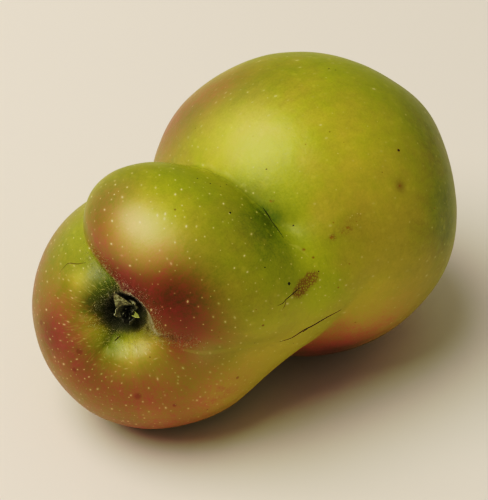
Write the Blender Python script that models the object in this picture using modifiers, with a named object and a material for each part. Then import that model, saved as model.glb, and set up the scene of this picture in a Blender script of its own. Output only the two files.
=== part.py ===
"""Conjoined apple: one fruit grown from two fused lobes, its dried calyx and its short stalk.

Row frame: the fruit lies on z = 0, its length runs along X with the large lobe at +X, and the
origin is under the middle of its bounding box. Lengths below are in millimetres.
"""

import math
import random

import bmesh
import bpy
import numpy as np
from mathutils import Matrix, Vector

MM = 0.001

# The two lobes are ellipsoids: centre and radii. The small one is flattened along the calyx axis,
# so its radii are sideways, upwards across that axis, and along it.
LARGE_CENTRE = (18.9, 0.0, 37.7)
LARGE_RADII = (38.3, 39.3, 38.2)
SMALL_CENTRE = (-28.0, -0.6, 29.2)
SMALL_RADII = (29.4, 30.1, 27.9)

# The swollen shoulder of the small lobe that folds over the calyx basin.
FOLD_CENTRE = (-22.5, -9.9, 48.8)
FOLD_RADII = (21.0, 27.7, 17.1)
FOLD_TURN_DEG = (21.8, 12.8, 34.4)

# The web of flesh that runs from the small lobe up the front of the large one: a tapered limb.
WEB_START = (-21.5, -7.3, 22.1)
WEB_END = (2.4, -19.7, 39.0)
WEB_START_RADIUS = 19.5
WEB_END_RADIUS = 16.0

# Low swellings: centre, reach and height. Three lie round the stalk cavity and on the far shoulder
# of the large lobe, and one makes the lip of the fold beside the basin.
SWELLINGS = (
    ((53.9, -6.3, 55.8), 11.0, 1.4),
    ((42.6, -30.3, 26.1), 12.0, 0.9),
    ((1.1, 32.1, 55.4), 12.0, 0.5),
)
LIP_SWELLING = ((-41.2, -21.7, 42.6), 8.0, 3.5)

# Calyx basin: a wide dish with a narrow pit in it. Each hollow is an egg that stands on a point of the
# calyx axis or beside it, and its shape is the height of its centre, its radius and its depth.
CALYX_POINT = (-41.9, -10.1, 40.6)
CALYX_AXIS = (-0.55, -0.69, 0.46)
DISH_POINT = (-43.1, -9.0, 38.5)
DISH_SHAPE = (13.0, 9.5, 9.0)
LIP_SHAPE = (11.0, 8.0, 9.0)
PIT_SHAPE = (5.0, 5.5, 7.5)

# Stalk cavity at the hidden end of the large lobe.
STALK_POINT = (45.3, -5.4, 32.3)
STALK_AXIS = (0.96, -0.19, -0.20)
CAVITY_SHAPE = (11.0, 9.0, 11.5)

# How widely two forms melt into each other where they meet.
BLEND_WEB = 6.0
BLEND_DISH = 6.5
BLEND_PIT = 4.0
BLEND_LIP = 1.8
BLEND_CAVITY = 9.0
BLEND_SHARP_FOLD = 1.6
BLEND_SOFT_FOLD = 13.0
BLEND_SHARP_CREASE = 2.2
BLEND_SOFT_CREASE = 11.0

# The creases are sharp near the basin and on top, and soften along the fold and above the heel.
FOLD_DIRECTION = (0.46, -0.78, -0.42)
FOLD_SOFTENS = (6.0, 20.0)
CREASE_POINT = (-24.3, -10.8, 51.9)
CREASE_SOFTENS = (14.0, 26.0)
HEEL_POINT = (-3.9, -25.9, 19.3)
HEEL_DIRECTION = (-0.21, 0.77, 0.61)
HEEL_SOFTENS = (1.0, 11.0)

# Mesh of the fruit: a cube sphere, stretched round both lobes and settled onto the skin.
CUBE_CUTS = 26
START_STRETCH = 1.6
START_RADIUS = 40.0
START_PASSES = 40
SPREAD_STEPS = 60
SETTLE_STEPS = 5
SETTLE_PASSES = 8
LAST_PASSES = 6
SLIDE_SHARE = 0.5
SLOPE_STEP = 0.05
SLOPE_FLOOR = 0.2
NEWTON_LIMIT = 1.5
REFINE_ROUNDS = 3
REFINE_GAP = 0.11
REFINE_SHORTEST = 1.0

# Plain holes for the calyx root and the stalk.
CLEARANCE = 0.3
HOLE_SIDES = 20
CALYX_HOLE_TOP = 0.5
STALK_HOLE_TOP = 2.0

# Calyx: a root in its hole, five curled sepals and a tuft of dry stamens. Angles are in radians.
CALYX_SEED = 11
ROOT_RADIUS = 2.2
ROOT_BOTTOM = -6.4
ROOT_TOP = -1.2
SEPAL_COUNT = 5
SEPAL_LENGTH = 5.6
SEPAL_SHARES = (0.85, 1.0)
SEPAL_WIDTH = 2.6
SEPAL_TAPER = 0.72
SEPAL_TAPER_POWER = 1.6
SEPAL_THICKNESS = 0.7
SEPAL_START_RADIUS = 1.3
SEPAL_SINK = 0.6
SEPAL_CUP = 0.7
SEPAL_STRAY = 0.12
SEPAL_LEANS = (0.18, 0.36)
SEPAL_CURLS = (-1.5, 0.5)
SEPAL_CURL_FROM = 0.45
STAMEN_COUNT = 7
STAMEN_SIDES = 7
STAMEN_RADIUS = 0.38
STAMEN_TIP_SHARE = 0.85
STAMEN_LENGTH = 2.6
STAMEN_SHARES = (0.7, 1.0)
STAMEN_RING_RADIUS = 0.75
STAMEN_SINK = 0.5
STAMEN_STRAY = 0.2
STAMEN_TILTS = (0.05, 0.25)

# Stalk: a short woody stub, slightly bent and ribbed, that flares at its broken end.
STALK_RADIUS = 1.3
STALK_END_RADIUS = 1.9
STALK_BOTTOM = -5.2
STALK_TOP = 7.4
STALK_BEND = 1.1
STALK_SIDES = 14
STALK_RINGS = 12
STALK_FLARE_FROM = 0.7
STALK_FLARE_POWER = 1.5
STALK_RIB_COUNT = 5
STALK_RIB_HEIGHT = 0.05
STALK_RIB_PHASE = 0.9

SKIN_COLOUR = (0.42, 0.44, 0.06, 1.0)
SKIN_ROUGHNESS = 0.42
CALYX_COLOUR = (0.10, 0.09, 0.05, 1.0)
CALYX_ROUGHNESS = 0.85
STALK_COLOUR = (0.14, 0.08, 0.04, 1.0)
STALK_ROUGHNESS = 0.8
SHARP_ANGLE = math.radians(40.0)


def unit(vector):
    vector = np.array(vector, float)
    return vector / np.linalg.norm(vector)


def turn_matrix(degrees):
    rx, ry, rz = (Matrix.Rotation(math.radians(a), 3, axis) for a, axis in zip(degrees, "XYZ"))
    return np.array(rz @ ry @ rx)


def axes_along(axis):
    """Turn matrix whose third axis is the given one and whose first axis is level."""
    level = unit(np.cross((0.0, 0.0, 1.0), axis))
    return np.stack([level, np.cross(axis, level), axis], axis=1)


def ellipsoid(points, centre, radii, turn=None):
    """Rough signed distance to an ellipsoid, in millimetres."""
    local = points - np.array(centre, float)
    if turn is not None:
        local = local @ turn
    radii = np.array(radii, float)
    near = np.linalg.norm(local / radii, axis=1)
    slope = np.maximum(np.linalg.norm(local / radii**2, axis=1), 1e-6)
    return near * (near - 1.0) / slope


def limb(points, start, end, start_radius, end_radius):
    """Signed distance to a tapered, round-ended limb."""
    axis = np.array(end, float) - np.array(start, float)
    length = np.linalg.norm(axis)
    axis /= length
    local = points - np.array(start, float)
    along = local @ axis
    across = np.linalg.norm(local - along[:, None] * axis, axis=1)
    taper = (start_radius - end_radius) / length
    nearest = np.clip(along - across * taper / math.sqrt(1.0 - taper * taper), 0.0, length)
    return np.hypot(across, along - nearest) - (start_radius - taper * nearest)


def hollow(points, base, axis, shape):
    """Signed distance to an egg-shaped hollow that opens along an axis."""
    height, radius, depth = shape
    local = points - np.array(base, float)
    along = local @ axis
    across = np.linalg.norm(local - along[:, None] * axis, axis=1)
    flat = np.stack([across, np.zeros_like(across), along], axis=1)
    return ellipsoid(flat, (0.0, 0.0, height), (radius, radius, depth))


def swelling(points, centre, reach, height):
    """How far a low round swelling lifts the skin."""
    away = points - np.array(centre)
    return height * np.exp(-(away * away).sum(axis=1) / reach**2)


def join(a, b, width):
    """Union of two forms that melt into each other over a width."""
    reach = np.maximum(width - np.abs(a - b), 0.0) / width
    return np.minimum(a, b) - reach**3 * width / 6.0


def carve(a, b, width):
    """The first form with the second cut out of it, its rim rounded over a width."""
    return -join(-a, b, width)


def ease(values, limits):
    """Rises smoothly from 0 to 1 between two limits."""
    share = np.clip((values - limits[0]) / (limits[1] - limits[0]), 0.0, 1.0)
    return share * share * (3.0 - 2.0 * share)


CALYX_UNIT = unit(CALYX_AXIS)
STALK_UNIT = unit(STALK_AXIS)
SMALL_TURN = axes_along(CALYX_UNIT)
FOLD_TURN = turn_matrix(FOLD_TURN_DEG)


def fruit_field(points):
    """Below zero inside the fruit, above zero outside."""
    large = ellipsoid(points, LARGE_CENTRE, LARGE_RADII)
    for place in SWELLINGS:
        large = large - swelling(points, *place)
    large = carve(large, hollow(points, STALK_POINT, STALK_UNIT, CAVITY_SHAPE), BLEND_CAVITY)

    pit = hollow(points, CALYX_POINT, CALYX_UNIT, PIT_SHAPE)
    small = ellipsoid(points, SMALL_CENTRE, SMALL_RADII, SMALL_TURN)
    web = limb(points, WEB_START, WEB_END, WEB_START_RADIUS, WEB_END_RADIUS)
    small = join(small, web, BLEND_WEB)
    small = carve(small, hollow(points, DISH_POINT, CALYX_UNIT, DISH_SHAPE), BLEND_DISH)
    small = carve(small, pit, BLEND_PIT)

    fold = ellipsoid(points, FOLD_CENTRE, FOLD_RADII, FOLD_TURN)
    fold = fold - swelling(points, *LIP_SWELLING)
    fold = carve(fold, hollow(points, DISH_POINT, CALYX_UNIT, LIP_SHAPE), BLEND_LIP)
    fold = carve(fold, pit, BLEND_LIP)

    along_fold = (points - np.array(CREASE_POINT)) @ unit(FOLD_DIRECTION)
    above_heel = (points - np.array(HEEL_POINT)) @ unit(HEEL_DIRECTION)
    soft = ease(along_fold, FOLD_SOFTENS)
    small = join(small, fold, BLEND_SHARP_FOLD + (BLEND_SOFT_FOLD - BLEND_SHARP_FOLD) * soft)
    soft = ease(along_fold, CREASE_SOFTENS) * ease(above_heel, HEEL_SOFTENS)
    return join(small, large, BLEND_SHARP_CREASE + (BLEND_SOFT_CREASE - BLEND_SHARP_CREASE) * soft)


def gradient(points):
    slopes = []
    for axis in np.eye(3) * SLOPE_STEP:
        slopes.append((fruit_field(points + axis) - fruit_field(points - axis)) / (2.0 * SLOPE_STEP))
    return np.stack(slopes, axis=1)


def to_surface(points, passes):
    """Walks the points down the slope of the field onto the skin."""
    for _ in range(passes):
        slope = gradient(points)
        steepness = np.maximum((slope * slope).sum(axis=1), SLOPE_FLOOR)
        step = (fruit_field(points) / steepness)[:, None] * slope
        length = np.maximum(np.linalg.norm(step, axis=1), 1e-9)
        points = points - step * np.minimum(1.0, NEWTON_LIMIT / length)[:, None]
    return points


def spread(points, edges, steps):
    """Evens out the spacing of the points by sliding them along the skin."""
    count = len(points)
    ends = np.concatenate([edges, edges[:, ::-1]])
    shared = np.bincount(ends[:, 0], minlength=count)[:, None]
    for _ in range(steps):
        total = np.stack([np.bincount(ends[:, 0], points[ends[:, 1], k], count) for k in range(3)], axis=1)
        slide = SLIDE_SHARE * (total / shared - points)
        normal = gradient(points)
        normal /= np.maximum(np.linalg.norm(normal, axis=1), 1e-6)[:, None]
        slide -= (slide * normal).sum(axis=1)[:, None] * normal
        points = to_surface(points + slide, 1)
    return to_surface(points, LAST_PASSES)


def bm_points(bm):
    bm.verts.ensure_lookup_table()
    bm.verts.index_update()
    return np.array([v.co for v in bm.verts])


def bm_edges(bm):
    return np.array([[v.index for v in e.verts] for e in bm.edges])


def move_bm(bm, points):
    for vert, point in zip(bm.verts, points):
        vert.co = point


def new_material(name, colour, roughness):
    material = bpy.data.materials.new(name)
    material.use_nodes = True
    shader = material.node_tree.nodes["Principled BSDF"]
    shader.inputs["Base Color"].default_value = colour
    shader.inputs["Roughness"].default_value = roughness
    shader.inputs["Metallic"].default_value = 0.0
    return material


def new_object(name, bm, collection):
    """Turns a bmesh in millimetres into an object in metres."""
    bmesh.ops.scale(bm, vec=(MM, MM, MM), verts=bm.verts)
    bmesh.ops.recalc_face_normals(bm, faces=bm.faces)
    mesh = bpy.data.meshes.new(name)
    bm.to_mesh(mesh)
    bm.free()
    obj = bpy.data.objects.new(name, mesh)
    collection.objects.link(obj)
    return obj


def new_collection(name):
    collection = bpy.data.collections.new(name)
    bpy.context.scene.collection.children.link(collection)
    return collection


def as_guide(obj):
    obj.display_type = "WIRE"
    obj.hide_render = True
    return obj


def frame_at(point, axis):
    """Matrix that stands local Z along an axis at a point."""
    return Matrix.Translation(Vector(point)) @ Vector(axis).to_track_quat("Z", "Y").to_matrix().to_4x4()


def add_cylinder(bm, frame, sides, radius, end_radius, bottom, top):
    bmesh.ops.create_cone(
        bm, cap_ends=True, segments=sides, radius1=radius, radius2=end_radius, depth=top - bottom,
        matrix=frame @ Matrix.Translation((0.0, 0.0, (top + bottom) / 2.0)),
    )


def apply_modifier(obj, modifier):
    bpy.context.view_layer.objects.active = obj
    bpy.ops.object.modifier_apply(modifier=modifier.name)


def round_off(obj):
    obj.data.shade_smooth()
    obj.data.set_sharp_from_angle(angle=SHARP_ANGLE)


# Clear the scene and set up the collections.
for old in list(bpy.data.objects):
    bpy.data.objects.remove(old, do_unlink=True)
parts = new_collection("conjoined_apple")
cutters = new_collection("cutters")
calyx_pieces = new_collection("calyx_pieces")
cutters.hide_render = True
calyx_pieces.hide_render = True

# Fruit: a cube sphere is stretched round both lobes, then its points settle onto the skin.
bm = bmesh.new()
bmesh.ops.create_cube(bm, size=2.0)
bmesh.ops.subdivide_edges(bm, edges=bm.edges, cuts=CUBE_CUTS, use_grid_fill=True)
ball = np.tan(bm_points(bm) * math.pi / 4.0)
ball /= np.linalg.norm(ball, axis=1)[:, None]
middle = (np.array(LARGE_CENTRE) + np.array(SMALL_CENTRE)) / 2.0
half = (np.array(LARGE_CENTRE) - np.array(SMALL_CENTRE)) / 2.0
start = middle + np.clip(ball[:, :1] * START_STRETCH, -1.0, 1.0) * half + ball * START_RADIUS
points = spread(to_surface(start, START_PASSES), bm_edges(bm), SPREAD_STEPS)
move_bm(bm, points)

# Edges whose middle stands off the skin are halved, so that the creases and the pit keep their shape.
for _ in range(REFINE_ROUNDS):
    bmesh.ops.triangulate(bm, faces=bm.faces, quad_method="BEAUTY", ngon_method="BEAUTY")
    ends = points[bm_edges(bm)]
    gap = np.abs(fruit_field(ends.mean(axis=1)))
    length = np.linalg.norm(ends[:, 0] - ends[:, 1], axis=1)
    coarse = [e for e, g, n in zip(bm.edges, gap, length) if g > REFINE_GAP and n > REFINE_SHORTEST]
    bmesh.ops.subdivide_edges(bm, edges=coarse, cuts=1)
    points = spread(to_surface(bm_points(bm), SETTLE_PASSES), bm_edges(bm), SETTLE_STEPS)
    move_bm(bm, points)

# The fruit has settled a little on the two spots where it lies.
points[:, 2] = np.maximum(points[:, 2], 0.0)
move_bm(bm, points)
bmesh.ops.triangulate(bm, faces=bm.faces, quad_method="BEAUTY", ngon_method="BEAUTY")
fruit = new_object("fruit", bm, parts)
fruit.data.materials.append(new_material("apple_skin", SKIN_COLOUR, SKIN_ROUGHNESS))

# Plain holes for the calyx root and for the stalk.
calyx_frame = frame_at(CALYX_POINT, CALYX_UNIT)
stalk_frame = frame_at(STALK_POINT, STALK_UNIT)
holes = (
    ("calyx_hole", calyx_frame, ROOT_RADIUS, ROOT_BOTTOM, CALYX_HOLE_TOP),
    ("stalk_hole", stalk_frame, STALK_RADIUS, STALK_BOTTOM, STALK_HOLE_TOP),
)
for name, frame, radius, bottom, top in holes:
    bm = bmesh.new()
    wide = radius + CLEARANCE
    add_cylinder(bm, frame, HOLE_SIDES, wide, wide, bottom - CLEARANCE, top)
    cut = fruit.modifiers.new(name, "BOOLEAN")
    cut.operation = "DIFFERENCE"
    cut.object = as_guide(new_object(name, bm, cutters))
    apply_modifier(fruit, cut)
round_off(fruit)

# Calyx: the root that stands in the hole.
rng = random.Random(CALYX_SEED)
bm = bmesh.new()
add_cylinder(bm, calyx_frame, HOLE_SIDES, ROOT_RADIUS, ROOT_RADIUS, ROOT_BOTTOM, ROOT_TOP)
calyx = new_object("calyx", bm, parts)
calyx.data.materials.append(new_material("dried_calyx", CALYX_COLOUR, CALYX_ROUGHNESS))

# Sepals: narrow blades that stand up from the root, lean out and curl at the tip.
for number in range(SEPAL_COUNT):
    turn = 2.0 * math.pi * (number + rng.uniform(-SEPAL_STRAY, SEPAL_STRAY)) / SEPAL_COUNT
    lean = rng.uniform(*SEPAL_LEANS)
    curl = rng.uniform(*SEPAL_CURLS)
    length = SEPAL_LENGTH * rng.uniform(*SEPAL_SHARES)
    bm = bmesh.new()
    bmesh.ops.create_grid(bm, x_segments=7, y_segments=4, size=0.5)
    for vert in bm.verts:
        along = vert.co.x + 0.5
        side = vert.co.y * SEPAL_WIDTH * (1.0 - SEPAL_TAPER * along**SEPAL_TAPER_POWER)
        angle = lean + curl * max(0.0, along - SEPAL_CURL_FROM)
        out = SEPAL_START_RADIUS + length * along * math.sin(angle) - SEPAL_CUP * abs(vert.co.y)
        up = ROOT_TOP - SEPAL_SINK + length * along * math.cos(angle)
        vert.co = Vector((out, side, up))
    bmesh.ops.transform(bm, matrix=calyx_frame @ Matrix.Rotation(turn, 4, "Z"), verts=bm.verts)
    blade = as_guide(new_object(f"sepal_{number}", bm, calyx_pieces))
    thick = blade.modifiers.new("Thickness", "SOLIDIFY")
    thick.thickness = SEPAL_THICKNESS * MM
    thick.offset = 0.0
    apply_modifier(blade, thick)

# Stamens: short dry stubs inside the ring of sepals.
for number in range(STAMEN_COUNT):
    turn = 2.0 * math.pi * (number + rng.uniform(-STAMEN_STRAY, STAMEN_STRAY)) / STAMEN_COUNT
    placed = calyx_frame @ Matrix.Rotation(turn, 4, "Z")
    placed @= Matrix.Translation((STAMEN_RING_RADIUS, 0.0, ROOT_TOP - STAMEN_SINK))
    placed @= Matrix.Rotation(rng.uniform(*STAMEN_TILTS), 4, "Y")
    length = STAMEN_LENGTH * rng.uniform(*STAMEN_SHARES)
    bm = bmesh.new()
    add_cylinder(bm, placed, STAMEN_SIDES, STAMEN_RADIUS, STAMEN_RADIUS * STAMEN_TIP_SHARE, 0.0, length)
    as_guide(new_object(f"stamen_{number}", bm, calyx_pieces))

# One union grows the sepals and stamens together with the root.
union = calyx.modifiers.new("Union", "BOOLEAN")
union.operation = "UNION"
union.operand_type = "COLLECTION"
union.collection = calyx_pieces
apply_modifier(calyx, union)
for piece in list(calyx_pieces.objects):
    bpy.data.objects.remove(piece, do_unlink=True)
bpy.data.collections.remove(calyx_pieces)
round_off(calyx)

# Stalk: rings along the stub carry its ribs, its bend and the flare at its broken end.
bm = bmesh.new()
add_cylinder(bm, Matrix.Identity(4), STALK_SIDES, 1.0, 1.0, STALK_BOTTOM, STALK_TOP)
upright = [e for e in bm.edges if abs(e.verts[0].co.z - e.verts[1].co.z) > 1.0]
bmesh.ops.subdivide_edges(bm, edges=upright, cuts=STALK_RINGS)
for vert in bm.verts:
    share = max(0.0, vert.co.z) / STALK_TOP
    flare = max(0.0, share - STALK_FLARE_FROM) / (1.0 - STALK_FLARE_FROM)
    around = math.atan2(vert.co.y, vert.co.x)
    rib = STALK_RIB_HEIGHT * math.sin(STALK_RIB_COUNT * around + STALK_RIB_PHASE) * share
    radius = STALK_RADIUS + (STALK_END_RADIUS - STALK_RADIUS) * flare**STALK_FLARE_POWER + rib
    vert.co.x = vert.co.x * radius + STALK_BEND * share**2
    vert.co.y = vert.co.y * radius
bmesh.ops.transform(bm, matrix=stalk_frame, verts=bm.verts)
stalk = new_object("stalk", bm, parts)
stalk.data.materials.append(new_material("woody_stalk", STALK_COLOUR, STALK_ROUGHNESS))
round_off(stalk)
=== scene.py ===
"""Conjoined apple, dressed: one fruit grown from two fused lobes, with its dried calyx and its short
stalk, lying on a pale table. Sizes are in millimetres until they are stored in a mesh, in metres."""

import math
import random

import bpy
import numpy as np
from mathutils import Matrix, Vector
from mathutils import noise as perlin
from mathutils.kdtree import KDTree


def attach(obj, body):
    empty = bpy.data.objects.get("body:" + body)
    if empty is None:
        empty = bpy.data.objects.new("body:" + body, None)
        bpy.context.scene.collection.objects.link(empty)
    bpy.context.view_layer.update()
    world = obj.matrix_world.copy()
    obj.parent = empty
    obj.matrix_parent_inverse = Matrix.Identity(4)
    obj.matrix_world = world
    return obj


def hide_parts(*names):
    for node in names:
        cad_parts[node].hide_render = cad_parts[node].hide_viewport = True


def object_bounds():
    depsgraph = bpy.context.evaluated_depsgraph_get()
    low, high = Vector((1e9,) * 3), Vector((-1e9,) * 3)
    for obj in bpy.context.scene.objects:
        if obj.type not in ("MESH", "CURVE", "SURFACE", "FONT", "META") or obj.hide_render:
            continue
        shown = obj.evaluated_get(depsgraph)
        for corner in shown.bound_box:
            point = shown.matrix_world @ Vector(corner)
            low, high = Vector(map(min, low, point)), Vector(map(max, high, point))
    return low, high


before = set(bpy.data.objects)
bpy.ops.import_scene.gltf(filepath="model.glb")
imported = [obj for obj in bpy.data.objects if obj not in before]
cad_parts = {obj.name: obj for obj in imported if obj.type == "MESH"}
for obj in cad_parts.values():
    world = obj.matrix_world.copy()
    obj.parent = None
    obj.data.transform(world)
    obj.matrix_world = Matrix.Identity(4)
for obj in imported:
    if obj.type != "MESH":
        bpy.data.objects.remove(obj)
cad_box = [list(corner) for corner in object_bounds()]
MM = 0.001

# Camera: the photograph looks down on the basin end from a little over an arm's length, through a
# long lens.
CAMERA_TARGET = (0.15, -0.10, 32.15)
CAMERA_RIGHT = (0.7826, -0.6225, 0.0)
CAMERA_UP = (0.3833, 0.4819, 0.7879)
CAMERA_BACK = (-0.4905, -0.6167, 0.6157)
CAMERA_DISTANCE = 400.0
LENS = 115.2
SENSOR_WIDTH = 36.0
NEAREST = 0.01

bpy.ops.object.select_all(action="DESELECT")
turned = Matrix((CAMERA_RIGHT, CAMERA_UP, CAMERA_BACK)).transposed().to_4x4()
place = (Vector(CAMERA_TARGET) + Vector(CAMERA_BACK) * CAMERA_DISTANCE) * MM
bpy.ops.object.camera_add()
camera = bpy.context.object
camera.matrix_world = Matrix.Translation(place) @ turned
camera.data.lens = LENS
camera.data.sensor_width = SENSOR_WIDTH
camera.data.clip_start = NEAREST
bpy.context.scene.camera = camera


# Fruit: two apples of one blossom that fused as they grew. It is a single piece of flesh under one
# waxy skin. The small lobe folds over its own calyx basin and a web of flesh runs up the large one.
LARGE_CENTRE = (18.9, 0.0, 37.7)
LARGE_RADII = (38.3, 39.3, 38.2)
SMALL_CENTRE = (-28.0, -0.6, 29.2)
SMALL_RADII = (29.4, 30.1, 27.9)
FOLD_CENTRE = (-22.5, -9.9, 48.8)
FOLD_RADII = (21.0, 27.7, 17.1)
FOLD_TURN_DEG = (21.8, 12.8, 34.4)
WEB_START = (-21.5, -7.3, 22.1)
WEB_END = (2.4, -19.7, 39.0)
WEB_RADII = (19.5, 16.0)
SWELLINGS = (
    ((53.9, -6.3, 55.8), 11.0, 1.4),
    ((42.6, -30.3, 26.1), 12.0, 0.9),
    ((1.1, 32.1, 55.4), 12.0, 0.5),
)
LIP_SWELLING = ((-41.2, -21.7, 42.6), 8.0, 3.5)
CALYX_POINT = (-41.9, -10.1, 40.6)
CALYX_AXIS = (-0.55, -0.69, 0.46)
DISH_POINT = (-43.1, -9.0, 38.5)
DISH_SHAPE = (13.0, 9.5, 9.0)
LIP_SHAPE = (11.0, 8.0, 9.0)
PIT_SHAPE = (5.0, 5.5, 7.5)
STALK_POINT = (45.3, -5.4, 32.3)
STALK_AXIS = (0.96, -0.19, -0.20)
CAVITY_SHAPE = (11.0, 9.0, 11.5)
FOLD_DIRECTION = (0.46, -0.78, -0.42)
CREASE_POINT = (-24.3, -10.8, 51.9)
HEEL_POINT = (-3.9, -25.9, 19.3)
HEEL_DIRECTION = (-0.21, 0.77, 0.61)

# How wide the forms melt into each other. The last two widths are the sharp part's and what softening
# adds. The fold and the neck crease soften by the distance along the fold and above the web's heel.
CAVITY_JOIN = 10.0
WEB_JOIN = 6.0
DISH_JOIN = 6.5
PIT_JOIN = 4.0
LIP_JOIN = 1.8
FOLD_JOIN = (0.7, 12.3)
NECK_JOIN = (1.2, 9.8)
FOLD_SOFTENS = (6.0, 20.0)
NECK_SOFTENS = (14.0, 26.0)
HEEL_SOFTENS = (-0.5, 6.0)

# Skin mesh: cuts across the starting cube, its radius and how soon its core reaches the lobes' centres,
# how it is walked onto the form and evened, and how many of the worst fitting faces are halved.
SKIN_CUTS = 47
START_RADIUS = 40.0
CORE_REACH = 1.6
FIRST_PASSES = 24
EVENING_STEPS = 40
LONGEST_STEP = 1.5
LEAST_SLOPE = 0.2
SLOPE_STEP = 0.03
FINE_FACES = 9000


def lengths(vectors):
    return np.sqrt(np.einsum("ij,ij->i", vectors, vectors))


def unit(vector):
    vector = np.array(vector, float)
    return vector / np.linalg.norm(vector)


def axes_along(axis):
    """Turn matrix whose third axis is the given one and whose first axis is level."""
    level = unit(np.cross((0.0, 0.0, 1.0), axis))
    return np.stack([level, np.cross(axis, level), axis], axis=1)


def ellipsoid(points, centre, radii, turn=None):
    """Rough signed distance to an ellipsoid."""
    local = points - np.array(centre)
    if turn is not None:
        local = local @ turn
    near = lengths(local / np.array(radii))
    slope = np.maximum(lengths(local / np.array(radii) ** 2), 1e-6)
    return near * (near - 1.0) / slope


def limb(points, start, end, radii):
    """Signed distance to a tapered, round-ended limb."""
    length = np.linalg.norm(np.array(end) - np.array(start))
    axis = (np.array(end) - np.array(start)) / length
    local = points - np.array(start)
    along = local @ axis
    across = lengths(local - along[:, None] * axis)
    taper = (radii[0] - radii[1]) / length
    nearest = np.clip(along - across * taper / math.sqrt(1.0 - taper * taper), 0.0, length)
    return np.hypot(across, along - nearest) - (radii[0] - taper * nearest)


def hollow(points, base, axis, shape):
    """Signed distance to an egg-shaped hollow that opens along an axis."""
    height, radius, depth = shape
    local = points - np.array(base)
    along = local @ axis
    across = lengths(local - along[:, None] * axis)
    flat = np.stack([across, np.zeros_like(across), along], axis=1)
    return ellipsoid(flat, (0.0, 0.0, height), (radius, radius, depth))


def swelling(points, centre, reach, height):
    away = points - np.array(centre)
    return height * np.exp(-np.einsum("ij,ij->i", away, away) / reach**2)


def join(a, b, width):
    """Union of two forms that melt into each other over a width."""
    reach = np.maximum(width - np.abs(a - b), 0.0) / width
    return np.minimum(a, b) - reach**3 * width / 6.0


def carve(a, b, width):
    return -join(-a, b, width)


def ease(values, low, high):
    """Rises smoothly from 0 to 1 between two limits."""
    share = np.clip((values - low) / (high - low), 0.0, 1.0)
    return share * share * (3.0 - 2.0 * share)


CALYX_UNIT = unit(CALYX_AXIS)
STALK_UNIT = unit(STALK_AXIS)
SMALL_TURN = axes_along(CALYX_UNIT)
turns = [Matrix.Rotation(math.radians(a), 3, axis) for a, axis in zip(FOLD_TURN_DEG, "XYZ")]
FOLD_TURN = np.array(turns[2] @ turns[1] @ turns[0])


def lobes(points):
    """The three forms before they are joined: the small lobe, its fold and the large lobe."""
    large = ellipsoid(points, LARGE_CENTRE, LARGE_RADII)
    for place in SWELLINGS:
        large = large - swelling(points, *place)
    large = carve(large, hollow(points, STALK_POINT, STALK_UNIT, CAVITY_SHAPE), CAVITY_JOIN)
    pit = hollow(points, CALYX_POINT, CALYX_UNIT, PIT_SHAPE)
    small = ellipsoid(points, SMALL_CENTRE, SMALL_RADII, SMALL_TURN)
    small = join(small, limb(points, WEB_START, WEB_END, WEB_RADII), WEB_JOIN)
    small = carve(small, hollow(points, DISH_POINT, CALYX_UNIT, DISH_SHAPE), DISH_JOIN)
    small = carve(small, pit, PIT_JOIN)
    fold = ellipsoid(points, FOLD_CENTRE, FOLD_RADII, FOLD_TURN) - swelling(points, *LIP_SWELLING)
    fold = carve(fold, hollow(points, DISH_POINT, CALYX_UNIT, LIP_SHAPE), LIP_JOIN)
    fold = carve(fold, pit, LIP_JOIN)
    return small, fold, large


def softness(points):
    """How far the fold and the neck crease have softened: 0 where sharp, 1 where smooth."""
    along_fold = (points - np.array(CREASE_POINT)) @ unit(FOLD_DIRECTION)
    above_heel = (points - np.array(HEEL_POINT)) @ unit(HEEL_DIRECTION)
    soft_neck = ease(along_fold, *NECK_SOFTENS) * ease(above_heel, *HEEL_SOFTENS)
    return ease(along_fold, *FOLD_SOFTENS), soft_neck


def skin_form(points):
    """Below zero inside the fruit, above zero outside."""
    small, fold, large = lobes(points)
    soft_fold, soft_neck = softness(points)
    lapped = join(small, fold, FOLD_JOIN[0] + FOLD_JOIN[1] * soft_fold)
    return join(lapped, large, NECK_JOIN[0] + NECK_JOIN[1] * soft_neck)


def skin_slope(points, level=None):
    """Slope of the form, from one small step along each axis."""
    level = skin_form(points) if level is None else level
    steps = np.eye(3) * SLOPE_STEP
    return np.stack([(skin_form(points + step) - level) / SLOPE_STEP for step in steps], axis=1)


def skin_normal(points):
    slope = skin_slope(points)
    return slope / np.maximum(lengths(slope), 1e-6)[:, None]


def onto_skin(points, passes):
    """Walks the points down the slope of the form onto the skin."""
    for _ in range(passes):
        level = skin_form(points)
        slope = skin_slope(points, level)
        steepness = np.maximum(np.einsum("ij,ij->i", slope, slope), LEAST_SLOPE)
        step = (level / steepness)[:, None] * slope
        shrink = np.minimum(1.0, LONGEST_STEP / np.maximum(lengths(step), 1e-9))
        points = points - step * shrink[:, None]
    return points


def read(collection, field, width=1, kind=float):
    values = np.empty(len(collection) * width, kind)
    collection.foreach_get(field, values)
    return values.reshape(-1, width) if width > 1 else values


def slide_even(obj, points, steps):
    """Evens out the spacing of the points by sliding them along the skin."""
    edges = read(obj.data.edges, "vertices", 2, np.int32)
    ends = np.concatenate([edges, edges[:, ::-1]])
    shared = np.bincount(ends[:, 0], minlength=len(points))[:, None]
    for _ in range(steps):
        total = [np.bincount(ends[:, 0], points[ends[:, 1], k], len(points)) for k in range(3)]
        slide = 0.5 * (np.stack(total, axis=1) / shared - points)
        normal = skin_normal(points)
        slide -= (slide * normal).sum(axis=1)[:, None] * normal
        points = onto_skin(points + slide, 1)
    return onto_skin(points, 2)


def settle(obj, points, steps):
    points = slide_even(obj, points, steps)
    obj.data.vertices.foreach_set("co", points.ravel())
    obj.data.update()
    return points


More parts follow.
